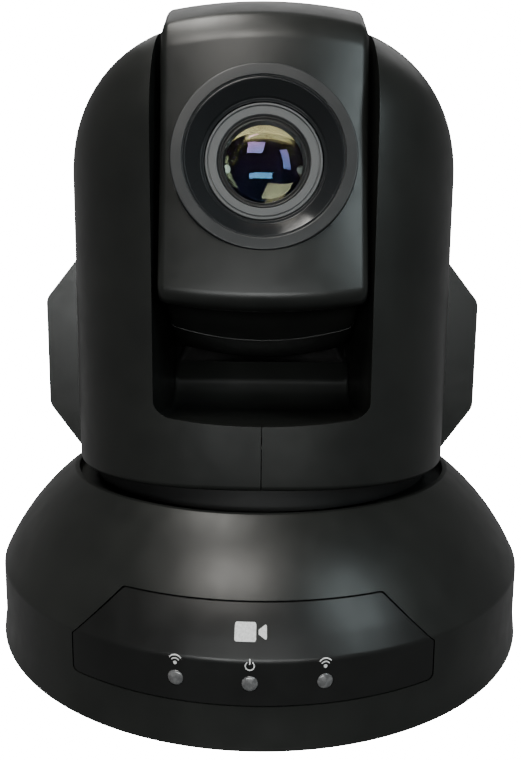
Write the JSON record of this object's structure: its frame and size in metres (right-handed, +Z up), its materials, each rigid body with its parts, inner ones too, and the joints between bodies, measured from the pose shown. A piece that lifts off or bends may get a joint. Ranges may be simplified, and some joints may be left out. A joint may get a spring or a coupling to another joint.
{
  "type": "pan tilt zoom camera",
  "caption": "Desktop pan-tilt-zoom camera: a lens head tilts in a U-shaped yoke that pans on a round flared base with a front indicator panel and rear sockets.",
  "frame": {"origin": "centre of the underside of the four feet, on the surface that the camera stands on", "axes": "+Z up along the pan axis, the lens looks along -Y, +X to the viewer's right when the camera is seen from the front"},
  "size_m": [0.1412, 0.1412, 0.157],
  "materials": {
    "shell_black": "satin black moulded plastic",
    "panel_black": "dark front panel, glossier on its sloping upper face",
    "window_grey": "frosted grey light guides",
    "turntable_black": "plain black moulding",
    "bezel_grey": "dark grey satin ring, glossy inside",
    "barrel_grey": "mid grey lens barrel",
    "ring_black": "black retaining ring",
    "coated_glass": "domed coated glass",
    "cell_glass": "glass in a moving cell",
    "foot_rubber": "black rubber",
    "belt_rubber": "toothed rubber belt",
    "plated_steel": "plated steel",
    "dark_steel": "black painted steel sheet",
    "screw_steel": "blackened screws",
    "motor_grey": "zinc-plated motor can",
    "brass": "turned brass",
    "bearing_steel": "bearing steel",
    "pulley_white": "white moulded pulley",
    "board_green": "circuit board with parts",
    "port_metal": "nickel-plated socket shell",
    "port_black": "black socket body",
    "selector_ivory": "pale selector disc"
  },
  "bodies": {
    "base": {"base_cover": "shell_black", "base_plate": "dark_steel", "front_panel": "panel_black", "ir_window_left": "window_grey", "power_window": "window_grey", "ir_window_right": "window_grey", "indicator_board": "board_green", "rear_port_plate": "shell_black", "usb_socket": "port_metal", "dc_jack": "port_black", "serial_socket_in": "port_black", "serial_socket_out": "port_black", "switch_housing": "port_black", "selector_housing": "port_black", "rubber_feet": "foot_rubber", "tripod_insert": "brass", "main_board": "board_green", "pan_bracket": "plated_steel", "pan_bearing": "bearing_steel", "pan_motor": "motor_grey", "pan_belt": "belt_rubber", "base_screws": "screw_steel"},
    "pan_body": {"pan_shaft": "plated_steel", "pan_pulley": "pulley_white", "turntable": "turntable_black", "yoke_frame": "plated_steel", "yoke_left_shell": "shell_black", "yoke_right_shell": "shell_black", "yoke_rear_cover": "shell_black", "saddle_cover": "shell_black", "tilt_motor": "motor_grey", "tilt_belt": "belt_rubber", "tilt_bush_left": "brass", "tilt_bush_right": "brass", "yoke_screws": "screw_steel"},
    "head": {"head_front_shell": "shell_black", "head_rear_shell": "shell_black", "lens_bezel": "bezel_grey", "lens_barrel": "barrel_grey", "front_lens": "coated_glass", "retaining_ring": "ring_black", "guide_rods": "plated_steel", "sensor_board": "board_green", "head_frame": "plated_steel", "tilt_axle_left": "plated_steel", "tilt_axle_right": "plated_steel", "tilt_pulley": "pulley_white", "head_screws": "screw_steel"},
    "pan_rotor": {"pan_motor_pulley": "plated_steel"},
    "tilt_rotor": {"tilt_motor_pulley": "plated_steel"},
    "zoom_cell": {"zoom_group": "cell_glass"},
    "focus_cell": {"focus_group": "cell_glass"},
    "rocker": {"power_rocker": "port_black"},
    "selector": {"rotary_selector": "selector_ivory"}
  },
  "joints": [
    {"name": "pan", "type": "hinge", "parent": "base", "child": "pan_body", "pos_m": [0, 0, 0.04], "axis": [0, 0, 1], "range_deg": [-135, 135]},
    {"name": "tilt", "type": "hinge", "parent": "pan_body", "child": "head", "pos_m": [0, 0, 0.112], "axis": [-1, 0, 0], "range_deg": [-39, 21]},
    {"name": "pan_motor_spin", "type": "hinge", "parent": "base", "child": "pan_rotor", "pos_m": [-0.04, 0, 0.024], "axis": [0, 0, 1], "range_deg": [-600, 600]},
    {"name": "tilt_motor_spin", "type": "hinge", "parent": "pan_body", "child": "tilt_rotor", "pos_m": [0.034, 0, 0.07], "axis": [-1, 0, 0], "range_deg": [-120, 65]},
    {"name": "zoom_slide", "type": "slide", "parent": "head", "child": "zoom_cell", "axis": [0, -0.9877, 0.1564], "range_m": [-0.007, 0]},
    {"name": "focus_slide", "type": "slide", "parent": "head", "child": "focus_cell", "axis": [0, -0.9877, 0.1564], "range_m": [-0.002, 0.003]},
    {"name": "rocker_swing", "type": "hinge", "parent": "base", "child": "rocker", "pos_m": [0.0188, 0.057, 0.0116], "axis": [1, 0, 0], "range_deg": [0, 14]},
    {"name": "selector_turn", "type": "hinge", "parent": "base", "child": "selector", "pos_m": [0.0254, 0.055, 0.0116], "axis": [0, 1, 0], "range_deg": [0, 324]}
  ],
  "couplings": [
    {"joint": "pan_motor_spin", "follows": "pan", "ratio": 4.4},
    {"joint": "tilt_motor_spin", "follows": "tilt", "ratio": 3}
  ]
}
